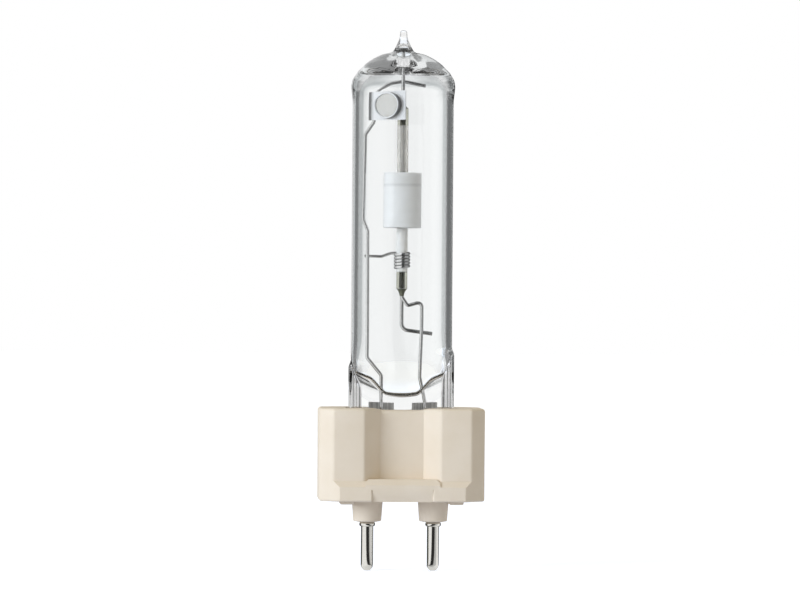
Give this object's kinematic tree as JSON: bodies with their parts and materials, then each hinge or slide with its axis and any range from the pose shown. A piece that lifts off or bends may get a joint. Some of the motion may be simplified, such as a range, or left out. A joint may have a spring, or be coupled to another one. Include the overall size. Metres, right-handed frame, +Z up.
{
  "type": "metal halide lamp",
  "caption": "Single-ended two-pin ceramic metal halide lamp: clear quartz bulb over a cream ceramic base.",
  "frame": {"origin": "centre of the ceramic base's underside, midway between the two contact pins", "axes": "+Z up along the lamp to the exhaust tip, X through both contact pins, -Y to the front"},
  "size_m": [0.03, 0.019, 0.0983],
  "materials": {
    "ceramic": "matt unglazed steatite, warm cream",
    "cement": "matt off-white lamp cement",
    "pin_metal": "nickel-plated, bright",
    "quartz": "clear fused quartz",
    "molybdenum": "drawn molybdenum, satin grey",
    "foil": "etched molybdenum foil, dark grey",
    "niobium": "drawn niobium, satin grey",
    "tungsten": "tungsten, dark grey",
    "alumina": "translucent polycrystalline alumina",
    "frit": "fused sealing glass, grey-olive",
    "getter_strip": "bright nickel-plated strip",
    "getter_powder": "pressed getter metal powder, matt grey",
    "halide": "condensed metal halide salts, yellow",
    "mercury": "liquid metal"
  },
  "bodies": {
    "root": {"ceramic_base": "ceramic", "base_cement": "cement", "contact_pin_left": "pin_metal", "contact_pin_right": "pin_metal", "lead_out_wire_left": "molybdenum", "lead_out_wire_right": "molybdenum", "outer_bulb": "quartz", "sealing_foil_left": "foil", "sealing_foil_right": "foil", "frame_wire_long": "molybdenum", "lead_in_wire_short": "molybdenum", "discharge_tube": "alumina", "end_plug_upper": "alumina", "end_plug_lower": "alumina", "capillary_upper": "alumina", "capillary_lower": "alumina", "sealing_frit_upper": "frit", "sealing_frit_lower": "frit", "feedthrough_upper": "niobium", "feedthrough_lower": "niobium", "molybdenum_rod_upper": "molybdenum", "molybdenum_rod_lower": "molybdenum", "electrode_upper": "tungsten", "electrode_lower": "tungsten", "electrode_coil_upper": "tungsten", "electrode_coil_lower": "tungsten", "starting_coil": "molybdenum", "getter_plate": "getter_strip", "getter_cup": "getter_strip", "getter_fill": "getter_powder", "salt_dose": "halide", "mercury_droplet": "mercury"}
  },
  "joints": []
}
